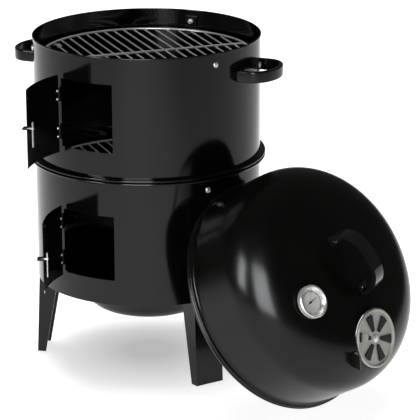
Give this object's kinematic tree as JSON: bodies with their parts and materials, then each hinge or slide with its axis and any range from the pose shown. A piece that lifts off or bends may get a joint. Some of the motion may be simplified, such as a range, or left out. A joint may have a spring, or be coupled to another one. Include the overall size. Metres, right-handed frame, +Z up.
{
  "type": "vertical water smoker",
  "caption": "Two-section cylindrical water smoker on channel legs, with hinged access doors, grates, pans, side handles and its domed lid leaning beside it.",
  "frame": {"origin": "on the floor, under the barrel's axis", "axes": "+Z up along the barrel's axis; the doors face -Y; the leaning lid is on the +X side"},
  "size_m": [0.7719, 0.5227, 0.5939],
  "materials": {
    "barrel_paint": "semi-gloss, heat resistant",
    "leg_paint": "semi-gloss",
    "handle_paint": "semi-gloss",
    "bracket_paint": "satin",
    "hinge_paint": "satin",
    "lid_enamel": "gloss enamel",
    "lid_fitting_paint": "semi-gloss",
    "pan_enamel": "gloss enamel",
    "chrome_wire": "bright",
    "zinc": "zinc plated",
    "knob_black": "satin",
    "vent_aluminium": "satin",
    "gauge_steel": "satin",
    "dial_face": "printed, satin",
    "needle_paint": "satin",
    "lens_glass": "clear"
  },
  "bodies": {
    "base": {"lower_section": "barrel_paint", "locating_collar": "barrel_paint", "leg_left": "leg_paint", "leg_right": "leg_paint", "leg_back": "leg_paint", "lower_bracket_left": "bracket_paint", "lower_bracket_right": "bracket_paint", "lower_bracket_back": "bracket_paint", "fire_brackets": "bracket_paint", "lower_bolts": "zinc", "lower_nuts": "zinc", "lower_hinge_fixed": "hinge_paint", "lower_hinge_pins": "zinc"},
    "upper_section": {"upper_section": "barrel_paint", "handle_left": "handle_paint", "handle_right": "handle_paint", "upper_bracket_left": "bracket_paint", "upper_bracket_right": "bracket_paint", "upper_bracket_back": "bracket_paint", "upper_bolts": "zinc", "upper_nuts": "zinc", "upper_hinge_fixed": "hinge_paint", "upper_hinge_pins": "zinc"},
    "upper_door": {"upper_door": "barrel_paint", "upper_hinge_moving": "hinge_paint", "upper_door_rivets": "zinc"},
    "upper_latch": {"upper_latch_shaft": "zinc", "upper_latch_knob": "knob_black", "upper_latch_plate": "zinc"},
    "lower_door": {"lower_door": "barrel_paint", "lower_hinge_moving": "hinge_paint", "lower_door_rivets": "zinc"},
    "lower_latch": {"lower_latch_shaft": "zinc", "lower_latch_knob": "knob_black", "lower_latch_plate": "zinc"},
    "upper_grate": {"upper_grate": "chrome_wire"},
    "lower_grate": {"lower_grate": "chrome_wire"},
    "water_pan": {"water_pan": "pan_enamel"},
    "charcoal_pan": {"charcoal_pan": "pan_enamel"},
    "lid": {"lid": "lid_enamel", "lid_handle": "lid_fitting_paint", "lid_handle_bolts": "lid_fitting_paint", "lid_handle_nuts": "zinc", "lid_hook": "lid_fitting_paint", "vent_rivet": "zinc", "thermometer_case": "gauge_steel", "thermometer_bezel": "gauge_steel", "thermometer_dial": "dial_face", "thermometer_lens": "lens_glass", "thermometer_nut": "zinc"},
    "vent": {"vent_disc": "vent_aluminium"},
    "needle": {"thermometer_needle": "needle_paint"}
  },
  "joints": [
    {"name": "upper_section_lift", "type": "slide", "parent": "base", "child": "upper_section", "axis": [0, 0, 1], "range_m": [0, 0.25]},
    {"name": "upper_door_swing", "type": "hinge", "parent": "upper_section", "child": "upper_door", "pos_m": [-0.05538, -0.19572, 0.485], "axis": [0, 0, 1], "range_deg": [-66, 84.8]},
    {"name": "lower_door_swing", "type": "hinge", "parent": "base", "child": "lower_door", "pos_m": [-0.05538, -0.19572, 0.257], "axis": [0, 0, 1], "range_deg": [-77.5, 73.5]},
    {"name": "upper_latch_turn", "type": "hinge", "parent": "upper_door", "child": "upper_latch", "pos_m": [-0.04103, -0.29558, 0.4825], "axis": [-0.9478, -0.319, 0], "range_deg": [0, 90]},
    {"name": "lower_latch_turn", "type": "hinge", "parent": "lower_door", "child": "lower_latch", "pos_m": [-0.02174, -0.29083, 0.2545], "axis": [-0.8669, -0.4985, 0], "range_deg": [0, 90]},
    {"name": "upper_grate_lift", "type": "slide", "parent": "upper_section", "child": "upper_grate", "axis": [0, 0, 1], "range_m": [0, 0.1]},
    {"name": "lower_grate_lift", "type": "slide", "parent": "base", "child": "lower_grate", "axis": [0, 0, 1], "range_m": [0, 0.15]},
    {"name": "water_pan_lift", "type": "slide", "parent": "base", "child": "water_pan", "axis": [0, 0, 1], "range_m": [0, 0.09]},
    {"name": "charcoal_pan_lift", "type": "slide", "parent": "base", "child": "charcoal_pan", "axis": [0, 0, 1], "range_m": [0, 0.05]},
    {"name": "lid_pull", "type": "slide", "parent": "base", "child": "lid", "axis": [0.8443, -0.1718, 0.5075], "range_m": [0, 0.3]},
    {"name": "vent_spin", "type": "hinge", "parent": "lid", "child": "vent", "pos_m": [0.50389, -0.09346, 0.14595], "axis": [0.9636, -0.1854, 0.1927], "continuous": true},
    {"name": "thermometer_needle_turn", "type": "hinge", "parent": "lid", "child": "needle", "pos_m": [0.44086, -0.20504, 0.23194], "axis": [0.8327, -0.2893, 0.4722], "range_deg": [-250, 0], "stiffness_Nm_per_rad": 0.0002}
  ],
  "couplings": [
    {"joint": "water_pan_lift", "follows": "lower_grate_lift", "ratio": 0.6}
  ]
}
